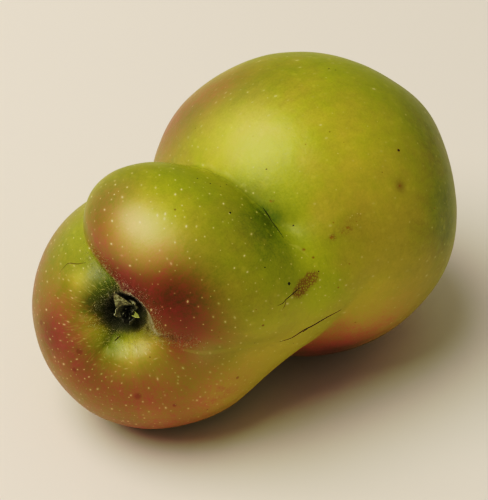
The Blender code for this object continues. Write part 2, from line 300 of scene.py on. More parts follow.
def in_edit_mode(obj, *operators):
    """Runs mesh operators on what is selected in one object."""
    bpy.context.view_layer.objects.active = obj
    bpy.ops.object.mode_set(mode="EDIT")
    for operator, settings in operators:
        operator(**settings)
    bpy.ops.object.mode_set(mode="OBJECT")


def select_faces(obj, chosen):
    bpy.context.tool_settings.mesh_select_mode = (False, False, True)
    obj.data.vertices.foreach_set("select", np.zeros(len(obj.data.vertices), bool))
    obj.data.edges.foreach_set("select", np.zeros(len(obj.data.edges), bool))
    obj.data.polygons.foreach_set("select", chosen)


bpy.ops.object.select_all(action="DESELECT")
bpy.ops.mesh.primitive_cube_add(size=2.0)
fruit = bpy.context.object
fruit.name = "apple_flesh_and_skin"
in_edit_mode(fruit, (bpy.ops.mesh.subdivide, {"number_cuts": SKIN_CUTS}))
ball = np.tan(read(fruit.data.vertices, "co", 3) * math.pi / 4.0)
ball /= np.linalg.norm(ball, axis=1)[:, None]
middle = (np.array(LARGE_CENTRE) + np.array(SMALL_CENTRE)) / 2.0
half = (np.array(LARGE_CENTRE) - np.array(SMALL_CENTRE)) / 2.0
start = middle + np.clip(ball[:, :1] * CORE_REACH, -1.0, 1.0) * half + ball * START_RADIUS
settle(fruit, onto_skin(start, FIRST_PASSES), EVENING_STEPS)
select_faces(fruit, np.ones(len(fruit.data.polygons), bool))
in_edit_mode(fruit, (bpy.ops.mesh.subdivide, {"number_cuts": 1}))
points = settle(fruit, onto_skin(read(fruit.data.vertices, "co", 3), 2), 2)

# Creases, lip and pit: the faces that stand furthest off the form are halved once more.
middles = read(fruit.data.polygons, "center", 3)
worst = np.argsort(np.abs(skin_form(middles)))[-FINE_FACES:]
chosen = np.zeros(len(middles), bool)
chosen[worst] = True
select_faces(fruit, chosen)
in_edit_mode(
    fruit,
    (bpy.ops.mesh.subdivide, {"number_cuts": 1}),
    (bpy.ops.mesh.select_all, {"action": "SELECT"}),
    (bpy.ops.mesh.quads_convert_to_tris, {"quad_method": "BEAUTY", "ngon_method": "BEAUTY"}),
    (bpy.ops.mesh.normals_make_consistent, {"inside": False}),
)
points = settle(fruit, onto_skin(read(fruit.data.vertices, "co", 3), 2), 2)

# Uneven growth: no apple is perfectly round, so the skin swells and sinks a little, and low pleats run
# out of the calyx basin. Local swellings by place, reach and height, waves by scale and height, and
# pleats by count, turn and height, which begin and end at rings round the pit and stay off the fold.
UNEVEN = (
    ((-48.5, -3.3, 48.9), 3.0, 0.55),
    ((-50.6, 2.0, 46.6), 2.4, 0.40),
    ((-45.5, -17.8, 36.2), 4.0, 0.40),
    ((-48.4, -12.9, 36.8), 1.3, -0.45),
    ((-47.0, 0.5, 49.6), 1.6, -0.30),
    ((-6.6, -28.8, 53.2), 1.3, 0.25),
    ((-9.4, -33.9, 46.6), 2.6, -0.15),
    ((20.8, -37.0, 50.5), 5.0, -0.20),
)
UNEVEN_WAVES = ((0.08, 0.16), (0.22, 0.05))
PLEATS = ((5, 0.6, 0.16), (11, 2.0, 0.09), (19, 0.4, 0.05))
PLEATS_BEGIN = (3.0, 7.0)
PLEATS_END = (18.0, 9.0)
UNDER_FOLD = (1.0, -1.0)
WAVE_SEED_PLACE = (3.0, 7.0, 1.0)

small, fold, large = lobes(points)
normal = skin_normal(points)
lift = np.zeros(len(points))
for scale, height in UNEVEN_WAVES:
    lift += height * np.array([perlin.noise(Vector(p) * scale + Vector(WAVE_SEED_PLACE)) for p in points])
for place in UNEVEN:
    lift += swelling(points, *place)
from_pit = (points - np.array(CALYX_POINT)) @ SMALL_TURN
round_pit = np.arctan2(from_pit[:, 1], from_pit[:, 0])
ring = np.hypot(from_pit[:, 0], from_pit[:, 1])
off_fold = ease(small - fold, *UNDER_FOLD)
pleated = ease(ring, *PLEATS_BEGIN) * ease(ring, *PLEATS_END) * off_fold
for count, turn, height in PLEATS:
    lift += height * pleated * np.cos(count * round_pit + turn)
points = points + lift[:, None] * normal

# The fruit has settled a little on the two spots where it lies.
low, high = (np.array(corner) / MM for corner in cad_box)
points = np.clip(points, low, high)
fruit.data.vertices.foreach_set("co", (points * MM).ravel())
fruit.data.update()
fruit.data.shade_smooth()

# Colour of the skin: soft patches by centre, reach and strength, for the small lobe, its fold and the
# large lobe. Blush makes the skin red, and tone makes it paler or darker; the few tone patches marked
# below are painted shade and painted highlight. On all three, grassy makes it greener, the highlight
# patches are painted highlights in a pale wax colour, and russet is brown cork.
BLUSH_SMALL = (
    ((-62.0, -2.0, 39.7), 11.4, 1.08),
    ((-62.0, -15.2, 26.5), 9.3, 0.75),
    ((-53.2, -28.0, 27.2), 9.5, 1.08),
    ((-61.8, 5.1, 11.8), 18.7, 0.87),
    ((-46.0, -20.3, 5.3), 16.6, 0.79),
    ((-32.2, -27.1, 22.3), 12.2, 0.49),
    ((-54.0, -9.0, 36.5), 5.0, 0.04),
    ((-49.0, -12.8, 37.0), 3.6, -0.24),
    ((-45.8, 22.0, 34.0), 15.0, 0.75),
    ((-39.1, -28.5, 41.8), 7.4, 0.95),
    ((-26.0, 26.0, 12.0), 18.0, 0.60),
)
TONE_SMALL = (
    ((-43.9, 11.1, 36.3), 15.1, -0.32),
    ((-46.3, -7.2, 47.5), 6.8, -0.60),
    ((-41.4, -16.0, 40.6), 3.0, -0.60),
    ((-49.6, -2.3, 48.6), 3.3, 0.52),
    ((-56.6, 1.8, 33.3), 6.4, -0.21),
    ((-43.0, -21.0, 18.3), 5.3, 0.17),
    ((-14.6, -20.6, 30.8), 22.0, 0.55),
    ((-48.7, -8.3, 31.4), 6.9, -0.60),
    ((-30.0, -32.5, 19.6), 8.0, 0.33),
    ((-33.3, -31.4, 37.5), 8.6, -0.36),
    ((-48.0, -8.5, 43.5), 3.6, -0.22),
    ((-47.0, -3.5, 45.5), 3.0, -0.25),
    ((-45.0, -17.0, 36.0), 3.5, 0.30),
    ((-47.6, -12.6, 37.2), 1.8, -0.16),
    ((-22.0, -33.0, 34.0), 6.0, 0.20),
    ((-10.0, -34.5, 40.0), 7.0, 0.42),
    ((-50.0, -9.0, 39.8), 3.4, 0.34),
)
BLUSH_FOLD = (
    ((-40.3, -23.7, 51.0), 9.4, 0.74),
    ((-33.8, -25.5, 40.2), 8.5, 0.66),
    ((-37.5, -1.0, 59.6), 7.3, 0.72),
    ((-50.4, -9.9, 54.3), 9.4, 1.10),
    ((-34.5, -17.2, 57.3), 5.4, 0.45),
    ((-43.5, -13.0, 49.5), 5.0, 0.40),
    ((-44.5, -1.0, 56.5), 5.0, 0.25),
)
TONE_FOLD = (
    ((-13.9, -20.9, 56.1), 8.2, -0.35),
    ((-9.9, 1.7, 62.2), 6.1, 0.36),
    ((-35.6, -22.0, 51.8), 9.4, -0.60),
    # Paler skin at the fold's highlight: partly the skin's own tone and partly painted highlight.
    ((-37.8, -13.8, 63.9), 11.2, 0.55),
    ((-39.0, -12.5, 36.5), 4.8, -0.12),
    ((-35.4, 0.7, 59.2), 7.4, -0.60),
    ((-47.2, -13.3, 52.3), 9.2, -0.47),
    ((-20.0, -34.5, 42.0), 7.0, 0.30),
    ((-10.0, -34.8, 42.0), 6.0, 0.35),
)
BLUSH_LARGE = (
    ((-0.6, -30.8, 13.8), 12.6, 1.10),
    ((2.3, -35.3, 29.1), 3.6, 0.30),
    ((14.6, -36.3, 25.7), 10.7, 0.40),
    ((-4.4, 27.0, 58.4), 12.0, 0.60),
    ((6.8, 14.9, 66.5), 8.2, 0.50),
    ((9.3, -25.3, 53.5), 7.8, 0.26),
    ((30.0, 34.0, 22.0), 18.0, 0.60),
    ((15.0, -10.0, 0.0), 18.0, 0.70),
    ((21.5, -31.7, 60.0), 1.5, 0.20),
    ((5.0, 34.0, 50.0), 17.0, 0.30),
)
TONE_LARGE = (
    ((38.8, -16.4, 44.9), 16.7, 0.23),
    ((7.0, 6.6, 73.5), 11.8, -0.30),
    ((-1.0, -2.5, 66.3), 14.0, 0.55),
    ((17.7, -16.5, 56.1), 17.2, 0.50),
    ((6.1, -29.7, 16.9), 11.8, -0.60),
    ((-5.4, -31.1, 50.6), 3.5, 0.55),
    # The next three darken the large lobe beside the neck crease: painted shade.
    ((-11.3, -12.8, 57.6), 6.9, -0.60),
    ((-7.3, -20.5, 57.7), 3.2, -0.30),
    ((-7.6, -24.2, 56.2), 2.5, -0.20),
    ((-6.0, -33.0, 43.0), 6.0, 0.20),
    # Painted shade on the large lobe's lower right side, away from the window.
    ((36.0, -34.0, 43.0), 11.0, -0.38),
    ((21.7, -31.7, 60.2), 1.7, -0.36),
    ((8.0, -33.0, 55.0), 5.0, -0.14),
    ((8.6, -35.3, 29.3), 15.9, 0.55),
    # Painted shade on the large lobe's right side, away from the window.
    ((44.0, -19.0, 55.0), 16.0, -0.42),
    ((-3.5, 16.9, 62.4), 11.0, -0.28),
)
GRASSY = (
    ((-5.0, -20.0, 60.0), 6.0, 0.6),
    ((-1.0, -12.0, 66.0), 8.0, 0.4),
    ((-5.0, -33.0, 44.0), 7.0, 0.6),
    ((40.0, -15.0, 62.0), 14.0, 0.3),
    ((35.0, -35.0, 46.0), 11.0, 0.6),
    ((33.0, 2.0, 73.0), 14.0, 0.4),
    ((-46.0, -5.0, 44.0), 7.0, 0.7),
    ((-50.0, -2.0, 48.0), 5.0, 0.9),
    ((-48.0, -13.0, 36.5), 4.5, 0.8),
    ((-46.0, 8.0, 50.0), 8.0, 0.6),
    ((-20.0, -5.0, 66.0), 11.0, 0.5),
    ((-12.0, -28.0, 52.0), 9.0, 0.6),
    ((15.0, -33.0, 48.0), 13.0, -0.4),
    ((26.0, -38.0, 35.0), 13.0, -0.4),
    ((-18.0, -31.0, 28.0), 9.0, -0.5),
)
PLAIN_GRASSY = 0.45
# Painted highlights: pale wax-coloured patches where the window light shines on the skin.
HIGHLIGHT_PATCHES = (
    ((-38.4, -11.6, 63.2), 6.0, 0.44),
    ((-44.8, -17.6, 36.2), 3.6, 0.24),
    ((-48.5, -3.3, 48.9), 3.0, 0.15),
    ((-1.4, -3.0, 70.0), 9.0, 0.12),
    ((-34.0, -29.0, 36.5), 4.0, 0.20),
)
PLAIN_TONE = 0.55
RUSSET = (
    ((-12.4, -33.9, 46.3), 1.6, 0.6),
    ((-10.2, -33.8, 46.2), 2.4, 0.8),
    ((-7.6, -33.9, 47.4), 2.3, 0.8),
    ((-5.6, -34.0, 48.4), 1.9, 0.65),
    ((4.0, -31.6, 55.6), 3.4, 0.60),
    ((8.0, -31.8, 57.5), 2.4, 0.42),
    ((0.8, -31.6, 54.4), 1.0, 0.7),
    ((-5.9, -18.3, 60.6), 0.8, 0.7),
)


def patches(points, places, start=0.0):
    """Sum of soft patches at each point."""
    return start + sum(swelling(points, *place) for place in places)


def store(obj, name, domain, *columns):
    """Keeps a vector of three values on the points or the face corners."""
    attribute = obj.data.attributes.new(name, "FLOAT_VECTOR", domain)
    attribute.data.foreach_set("vector", np.stack(columns, axis=-1).astype(np.float32).ravel())


# Streaks of the mottling run from pole to pole of each lobe: how long they are drawn, how far the small
# lobe's middle lies under its calyx, and where one lobe's streaks change over to the other's.
STREAK_STRETCH = 0.25
STREAK_DEPTH = 20.0
STREAKS_CHANGE = (-12.0, 6.0)


def round_axis(points, centre, axis):
    """Direction round an axis and the angle from it, for streaks that run from pole to pole."""
    local = (points - np.array(centre)) @ axes_along(axis)
    ring = np.maximum(np.hypot(local[:, 0], local[:, 1]), 1e-6)
    angle = np.arctan2(ring, local[:, 2])
    return np.stack([local[:, 0] / ring, local[:, 1] / ring, angle * STREAK_STRETCH], axis=1)


pole = np.array(CALYX_POINT) - STREAK_DEPTH * CALYX_UNIT
share_large = ease(points[:, 0], *STREAKS_CHANGE)[:, None]
streaks = round_axis(points, pole, CALYX_UNIT) * (1.0 - share_large)
streaks += round_axis(points, LARGE_CENTRE, STALK_UNIT) * share_large
store(fruit, "streaks", "POINT", *streaks.T)
blushes = [patches(points, places) for places in (BLUSH_SMALL, BLUSH_FOLD, BLUSH_LARGE)]
store(fruit, "blushes", "POINT", *blushes)
tones = [patches(points, places, PLAIN_TONE) for places in (TONE_SMALL, TONE_FOLD, TONE_LARGE)]
store(fruit, "tones", "POINT", *tones)
soft_fold, soft_neck = softness(points)
lapped = join(small, fold, FOLD_JOIN[0] + FOLD_JOIN[1] * soft_fold)
store(fruit, "borders", "POINT", small - fold, lapped - large, soft_fold)

# Where the downy pit, the basin, the sharp upper neck crease and the stalk cavity begin and are full.
# The pit is darkened with painted shade over its own dark tissue, and painted lighter on its lit side.
PIT_SHIFT = 0.9
PIT_HEIGHTS = (5.0, 0.5)
PIT_RINGS = (6.6, 4.0)
PIT_REACH = (13.0, 10.0)
PIT_SIDES = (-3.0, 4.0)
BASIN_REACH = (19.0, 8.0)
CREASE_HEIGHTS = (44.0, 55.0)
CAVITY_REACH = (19.0, 8.0)
from_calyx = lengths(points - np.array(CALYX_POINT))
pit_ring = np.hypot(from_pit[:, 0] + PIT_SHIFT, from_pit[:, 1] - PIT_SHIFT)
in_pit = ease(from_pit[:, 2], *PIT_HEIGHTS) * ease(pit_ring, *PIT_RINGS) * ease(from_calyx, *PIT_REACH)
lit_side = ease(from_pit[:, 0] - from_pit[:, 1], *PIT_SIDES)
store(fruit, "pits", "POINT", in_pit, lit_side, ease(from_calyx, *BASIN_REACH) * off_fold)
upper_crease = ease(points[:, 2], *CREASE_HEIGHTS)
store(fruit, "hues", "POINT", patches(points, GRASSY, PLAIN_GRASSY), patches(points, HIGHLIGHT_PATCHES), upper_crease)
in_cavity = ease(lengths(points - np.array(STALK_POINT)), *CAVITY_REACH)
store(fruit, "marks", "POINT", patches(points, RUSSET), in_cavity, soft_neck)

# Lenticels: pale breathing pores. They are fine dashes by the calyx, crisp dots on the small lobe, and
# wide apart, faint and larger on the large lobe. A few clusters of tiny ones sit by the neck. Spacings
# come first, then radii and strengths, each as the least and what chance adds.
PORE_SEED = 4
PORE_TRIALS = 30000
SMALL_SPACING = 1.75
BASIN_CLOSER = 0.7
FOLD_WIDER = 0.5
LARGE_SPACING = 2.9
CAVITY_CLOSER = 1.7
SPACING_VARIES = (0.45, 1.45)
CLUSTER_SPACING = 0.45
PORE_FREE_PIT = (5.0, 7.5, 9.0)
PORE_RADII = (0.085, 0.115)
CLUSTER_RADIUS = 0.10
PORE_STRENGTHS = (0.16, 0.74)
CLUSTER_STRENGTH = 0.7
PORE_BORDER = (-0.5, 0.5)
NEAR_CALYX = (20.0, 9.0)
NEAR_STALK = (26.0, 10.0)
CLUSTERS = (
    ((-3.4, -23.7, 58.4), 1.5),
    ((7.9, -31.6, 57.8), 2.4),
    ((1.3, -34.3, 50.3), 1.8),
    ((-9.0, -33.6, 47.5), 2.2),
)
rng = np.random.default_rng(PORE_SEED)
corners = read(fruit.data.loops, "vertex_index", 1, np.int32).reshape(-1, 3)
corner_points = points[corners]
middles = corner_points.mean(axis=1)
cross = np.cross(corner_points[:, 1] - corner_points[:, 0], corner_points[:, 2] - corner_points[:, 0])
areas = lengths(cross) / 2.0
face_normals = cross / np.maximum(areas[:, None] * 2.0, 1e-12)
trial_faces = rng.choice(len(areas), PORE_TRIALS, p=areas / areas.sum())
trials = middles[trial_faces]
small, fold, large = lobes(trials)
on_fold = ease(small - fold, *PORE_BORDER)
on_large = ease(np.minimum(small, fold) - large, *PORE_BORDER)
near = ease(lengths(trials - np.array(CALYX_POINT)), *NEAR_CALYX) * (1.0 - on_fold) * (1.0 - on_large)
spacing = SMALL_SPACING - BASIN_CLOSER * near + FOLD_WIDER * on_fold
spacing = spacing * (1.0 - on_large) + LARGE_SPACING * on_large
spacing -= CAVITY_CLOSER * ease(lengths(trials - np.array(STALK_POINT)), *NEAR_STALK)
spacing *= rng.uniform(*SPACING_VARIES, PORE_TRIALS)
clustered = np.zeros(PORE_TRIALS, bool)
for centre, reach in CLUSTERS:
    clustered |= lengths(trials - np.array(centre)) < reach
spacing[clustered] = CLUSTER_SPACING


def spot_tree(spots):
    tree = KDTree(len(spots))
    for number, spot in enumerate(spots):
        tree.insert(spot, number)
    tree.balance()
    return tree


tree = spot_tree(trials)
free = hollow(trials, CALYX_POINT, CALYX_UNIT, PORE_FREE_PIT) > 0.0
pores = []
for number in range(PORE_TRIALS):
    if free[number]:
        pores.append(number)
        for _, other, _ in tree.find_range(trials[number], spacing[number]):
            free[other] = False


def draw_spots(name, centres, normals, long_radii, short_radii, tones):
    """Gives every face corner its offset from the nearest spot, in spot radii, and the spot's tone."""
    axis = np.where(centres[:, :1] < -6.0, CALYX_UNIT, STALK_UNIT)
    along = axis - (axis * normals).sum(axis=1)[:, None] * normals
    along /= np.maximum(lengths(along), 1e-6)[:, None]
    across = np.cross(normals, along)
    tree = spot_tree(centres)
    nearest = np.array([tree.find(place)[1] for place in middles])
    away = corner_points - centres[nearest][:, None]
    u = (away * along[nearest][:, None]).sum(axis=2) / long_radii[nearest][:, None]
    v = (away * across[nearest][:, None]).sum(axis=2) / short_radii[nearest][:, None]
    store(fruit, name, "CORNER", u, v, np.repeat(tones[nearest][:, None], 3, axis=1))


near, on_large, on_fold, clustered = (values[pores] for values in (near, on_large, on_fold, clustered))
chance = rng.uniform(0.0, 1.0, (3, len(pores)))
radius = (PORE_RADII[0] + PORE_RADII[1] * chance[0] ** 1.5) * (1.0 + 0.15 * on_fold) * (1.0 - 0.35 * near)
radius *= 1.0 + 0.9 * on_large * chance[1]
strength = PORE_STRENGTHS[0] + PORE_STRENGTHS[1] * chance[2] ** 1.2
strength *= 1.0 - 0.52 * near
strength *= 1.0 - on_large * (1.0 - 0.26 - 0.34 * chance[2] ** 6)
radius[clustered] = CLUSTER_RADIUS
strength[clustered] = CLUSTER_STRENGTH
stretch = 1.0 + near * (1.5 + 2.0 * chance[1]) + 0.8 * chance[0] ** 3
draw_spots("pores", trials[pores], face_normals[trial_faces[pores]], radius * stretch, radius, strength)

# Blemishes: dark flecks, brown spots and bruised red spots. Place, radius and tone, where a tone is
# from 0, black, through 0.5, brown, to 1, a soft dull red.
BLEMISHES = (
    ((-18.7, -18.9, 63.5), 0.30, 0.02),
    ((-13.2, -33.5, 49.4), 0.42, 0.02),
    ((-18.7, -6.7, 66.1), 0.22, 0.02),
    ((-16.9, -9.2, 65.3), 0.25, 0.05),
    ((-14.9, -10.4, 64.3), 0.18, 0.05),
    ((-12.2, -9.1, 62.8), 0.22, 0.05),
    ((-18.2, -30.9, 55.0), 0.16, 0.02),
    ((-22.0, -35.0, 42.6), 0.40, 0.35),
    ((25.8, -26.2, 65.3), 0.42, 0.15),
    ((21.6, -31.7, 60.1), 0.34, 0.50),
    ((5.2, -32.1, 55.8), 0.42, 0.52),
    ((2.6, -30.0, 57.2), 0.24, 0.50),
    ((0.9, -31.4, 54.5), 0.44, 0.52),
    ((3.6, -31.9, 54.9), 0.20, 0.50),
    ((7.6, -32.4, 56.6), 0.18, 0.50),
    ((-4.8, -24.5, 56.6), 0.25, 0.10),
    ((-6.3, -18.1, 60.5), 0.35, 0.45),
    ((-3.7, -13.3, 65.7), 0.22, 0.20),
    ((-5.8, -29.5, 53.1), 0.42, 0.40),
    ((-4.6, -31.6, 51.5), 0.35, 0.40),
    ((-4.5, -33.5, 48.6), 0.20, 0.20),
    ((-0.5, -35.7, 43.5), 0.28, 0.50),
    ((-9.6, -33.8, 46.2), 0.24, 0.42),
    ((-8.4, -33.8, 47.0), 0.20, 0.42),
    ((-55.9, 5.6, 34.4), 0.85, 0.92),
    ((-54.7, -8.6, 34.6), 1.00, 0.98),
    ((-55.9, -7.6, 28.9), 0.70, 0.95),
    ((-47.7, -21.0, 25.5), 1.10, 0.98),
    ((-40.6, -25.5, 21.8), 0.60, 0.85),
    ((-25.2, -29.5, 24.6), 0.55, 0.80),
)
STRAY_BLEMISHES = 70
STRAY_RADII = (0.10, 0.26)
STRAY_TONES = (0.1, 0.6)
extra = rng.choice(len(areas), STRAY_BLEMISHES, p=areas / areas.sum())
blemish_places = np.concatenate([onto_skin(np.array([b[0] for b in BLEMISHES]), 6), middles[extra]])
blemish_radii = np.concatenate([[b[1] for b in BLEMISHES], rng.uniform(*STRAY_RADII, STRAY_BLEMISHES)])
blemish_tones = np.concatenate([[b[2] for b in BLEMISHES], rng.uniform(*STRAY_TONES, STRAY_BLEMISHES)])
normals = skin_normal(blemish_places)
draw_spots("blemishes", blemish_places, normals, blemish_radii, blemish_radii * 0.8, blemish_tones)

# Growth cracks and scars: fine lines in the skin, by their points, half width and tone, from 0, a black
# crack, through 0.5, a brown scar, to 1, a pale line.
SEAMS = (
    (((-14.6, -32.3, 32.0), (-11.9, -32.7, 31.7), (-9.9, -33.2, 32.5), (-8.4, -33.6, 33.2),
      (-6.2, -33.9, 33.5), (-4.1, -34.3, 34.2), (-1.6, -34.9, 35.0), (1.0, -35.5, 35.6)), 0.26, 0.0),
    (((-8.9, -33.5, 32.6), (-8.2, -33.7, 32.7), (-7.4, -33.9, 33.1)), 0.20, 0.3),
    (((-38.0, -25.5, 37.6), (-34.5, -27.8, 36.4), (-29.3, -30.3, 35.9), (-25.8, -31.5, 35.7),
      (-20.3, -32.0, 33.6), (-14.6, -32.3, 32.0)), 0.80, 1.0),
    (((-8.1, -17.7, 59.1), (-8.0, -19.0, 58.3), (-8.0, -20.4, 57.4), (-8.1, -22.0, 56.7),
      (-8.3, -23.8, 56.1), (-8.5, -25.4, 55.5)), 0.10, 0.12),
    (((-50.2, 4.7, 47.1), (-49.4, 4.4, 48.2), (-48.3, 3.8, 49.4), (-47.6, 1.5, 50.4),
      (-46.4, -0.5, 51.4)), 0.10, 0.45),
    (((-17.9, -35.2, 46.5), (-16.4, -35.1, 46.4), (-15.3, -35.0, 46.8), (-12.8, -34.4, 46.9),
      (-10.5, -34.0, 47.0)), 0.10, 0.2),
    (((-15.3, -35.0, 46.8), (-15.9, -35.1, 45.6), (-16.8, -35.1, 44.9)), 0.08, 0.4),
    # A pale line along the ridge by the neck: painted highlight.
    (((-8.1, -27.2, 54.4), (-6.9, -28.3, 53.7), (-6.2, -29.6, 52.9), (-5.6, -31.0, 51.9)), 0.45, 1.0),
    (((-47.6, -12.8, 36.9), (-46.9, -12.7, 37.0), (-46.1, -12.5, 37.1)), 0.13, 0.30),
)


def curve_through(controls, step):
    """Points of a smooth curve through the control points, close together."""
    controls = np.array(controls)
    ends = np.concatenate([[2 * controls[0] - controls[1]], controls, [2 * controls[-1] - controls[-2]]])
    course = []
    for a, b, c, d in zip(ends, ends[1:], ends[2:], ends[3:]):
        count = max(2, int(np.linalg.norm(c - b) / step))
        t = (np.arange(count) / count)[:, None]
        bend = (2 * a - 5 * b + 4 * c - d) * t**2 + (3 * b - a - 3 * c + d) * t**3
        course.append(0.5 * (2 * b + (c - a) * t + bend))
    return np.concatenate(course + [controls[-1:]])


SEAM_STEP = 0.15
courses = []
for controls, width, tone in SEAMS:
    course = onto_skin(curve_through(controls, SEAM_STEP), 6)
    ahead = np.gradient(course, axis=0)
    ahead /= lengths(ahead)[:, None]
    share = np.linspace(0.0, 1.0, len(course))
    widths = width * (0.35 + 0.65 * np.sin(np.pi * np.clip(share, 0.02, 0.98)))
    ends = np.zeros(len(course))
    ends[0], ends[-1] = -1.0, 1.0
    ahead *= ends[:, None] + (ends == 0.0)[:, None]
    side = np.cross(skin_normal(course), ahead)
    courses.append((course, side, ahead * np.abs(ends)[:, None], widths, np.full(len(course), tone)))
course, side, ahead, widths, tone = (np.concatenate([c[k] for c in courses]) for k in range(5))
tree = spot_tree(course)
nearest = np.array([tree.find(place)[1] for place in middles])
away = corner_points - course[nearest][:, None]
across = (away * side[nearest][:, None]).sum(axis=2) / widths[nearest][:, None]
overrun = (away * ahead[nearest][:, None]).sum(axis=2)
store(fruit, "seams", "CORNER", across, overrun, np.repeat(tone[nearest][:, None], 3, axis=1))


def node(tree, kind, inputs=None, **settings):
    """Adds a shader node; an input is a socket to link or a plain value."""
    made = tree.nodes.new("ShaderNode" + kind)
    for key, value in settings.items():
        setattr(made, key, value)
    for key, value in (inputs or {}).items():
        if isinstance(value, bpy.types.NodeSocket):
            tree.links.new(value, made.inputs[key])
        else:
            made.inputs[key].default_value = value
    return made


def sums(tree, operation, *values):
    return node(tree, "Math", dict(enumerate(values)), operation=operation).outputs[0]


def times(tree, *values):
    result = values[0]
    for value in values[1:]:
        result = sums(tree, "MULTIPLY", result, value)
    return result


def total(tree, *values):
    result = values[0]
    for value in values[1:]:
        result = sums(tree, "ADD", result, value)
    return result


def rise(tree, value, low, high, to_low=0.0, to_high=1.0):
    """Runs smoothly from one value to another between two limits."""
    inputs = {0: value, 1: low, 2: high, 3: to_low, 4: to_high}
    return node(tree, "MapRange", inputs, interpolation_type="SMOOTHSTEP").outputs[0]


def blend(tree, share, first, second):
    return node(tree, "Mix", {0: share, 6: first, 7: second}, data_type="RGBA").outputs[2]


def between(tree, share, first, second):
    return node(tree, "Mix", {0: share, 2: first, 3: second}, data_type="FLOAT").outputs[0]


def noise(tree, vector, scale, detail=2.0, roughness=0.5):
    inputs = {"Vector": vector, "Scale": scale, "Detail": detail, "Roughness": roughness}
    return node(tree, "TexNoise", inputs).outputs[0]


def spread(tree, value, amount):
    """A noise value as a swing either side of zero."""
    return sums(tree, "MULTIPLY", sums(tree, "SUBTRACT", value, 0.5), amount)


def spreads(tree, values, amounts):
    return total(tree, *(spread(tree, value, amount) for value, amount in zip(values, amounts)))


def within_one(tree, value):
    return sums(tree, "MINIMUM", sums(tree, "MAXIMUM", value, 0.0), 1.0)


def parts_of(tree, name):
    """The three values of a mesh attribute."""
    vector = node(tree, "Attribute", attribute_name=name).outputs["Vector"]
    return node(tree, "SeparateXYZ", {0: vector}).outputs


def spot_size(tree, spot):
    return sums(tree, "SQRT", total(tree, times(tree, spot[0], spot[0]), times(tree, spot[1], spot[1])))


def new_material(name):
    material = bpy.data.materials.new(name)
    material.use_nodes = True
    return material, material.node_tree, material.node_tree.nodes["Principled BSDF"]


# Skin colours: greens and reds from deep to light, each green plain and grassy, and what lies on them.
DEEP_GREENS = ((0.140, 0.146, 0.015, 1.0), (0.106, 0.153, 0.006, 1.0))
LIGHT_GREENS = ((0.54, 0.460, 0.078, 1.0), (0.45, 0.485, 0.034, 1.0))
REDS = ((0.140, 0.034, 0.014, 1.0), (0.53, 0.194, 0.118, 1.0))
HIGHLIGHT_COLOUR = (0.66, 0.55, 0.30, 1.0)
SPECK_COLOUR = (0.60, 0.56, 0.12, 1.0)
CREASE_SHADE = (0.115, 0.150, 0.006, 1.0)
CREASE_DUST_AND_SHADE = (0.030, 0.035, 0.004, 1.0)
BASIN_LINES = (0.58, 0.53, 0.20, 1.0)
PIT_SHADED_AND_LIT_WALLS = ((0.062, 0.072, 0.018, 1.0), (0.19, 0.21, 0.10, 1.0))
PIT_DOWN = (0.42, 0.42, 0.27, 1.0)
PORE_COLOURS = ((0.68, 0.64, 0.33, 1.0), (0.72, 0.50, 0.31, 1.0))
RUSSET_COLOUR = (0.25, 0.165, 0.030, 1.0)
BLEMISH_COLOURS = ((0.010, 0.008, 0.003, 1.0), (0.30, 0.185, 0.014, 1.0), (0.14, 0.022, 0.012, 1.0))
SEAM_COLOURS = ((0.012, 0.009, 0.004, 1.0), (0.12, 0.065, 0.012, 1.0), (0.60, 0.55, 0.22, 1.0))

# Skin patterns by scale, detail and roughness, and how far the wide, streaked, mottled and fine ones
# swing the blush and the tone.
WIDE = (70.0, 3.0)
MOTTLE = (420.0, 3.0, 0.6)
FINE = (1900.0, 3.0, 0.65)
STREAK = (14.0, 4.0, 0.6)
FINE_STREAK = (34.0, 3.0, 0.6)
HUE = (160.0, 3.0, 0.55)
SPECK_SCALE = 330.0
NET_SCALE = 1500.0
BLUSH_SWINGS = (0.28, 0.46, 0.62, 0.80)
TONE_SWINGS = (0.28, 0.20, 0.30, 0.36)
SKIN_BUMP = {"Strength": 0.6, "Distance": 0.0004}
SKIN_SPECULAR = 0.45

skin, tree, shader = new_material("waxy_apple_skin")
place = node(tree, "TexCoord").outputs["Object"]
streak_place = node(tree, "Attribute", attribute_name="streaks").outputs["Vector"]
blushes = parts_of(tree, "blushes")
tones = parts_of(tree, "tones")
borders = parts_of(tree, "borders")
pits = parts_of(tree, "pits")
marks = parts_of(tree, "marks")
hues = parts_of(tree, "hues")
pore = parts_of(tree, "pores")
blemish = parts_of(tree, "blemishes")
seam = parts_of(tree, "seams")

wide = noise(tree, place, *WIDE)
mottle = noise(tree, place, *MOTTLE)
fine = noise(tree, place, *FINE)
streak = noise(tree, streak_place, *STREAK)
fine_streak = noise(tree, streak_place, *FINE_STREAK)
hue = noise(tree, place, *HUE)

# Which form a place belongs to: sharp along the creases, soft where the flesh has melted together.
SHARP_BORDER = 0.35
SOFT_BORDER_ADDS = 7.0
fold_half = total(tree, SHARP_BORDER, times(tree, borders[2], SOFT_BORDER_ADDS))
neck_half = total(tree, SHARP_BORDER, times(tree, marks[2], SOFT_BORDER_ADDS))
on_fold = rise(tree, sums(tree, "DIVIDE", borders[0], fold_half), -1.0, 1.0)
on_large = rise(tree, sums(tree, "DIVIDE", borders[1], neck_half), -1.0, 1.0)
blush = between(tree, on_large, between(tree, on_fold, blushes[0], blushes[1]), blushes[2])
tone = between(tree, on_large, between(tree, on_fold, tones[0], tones[1]), tones[2])

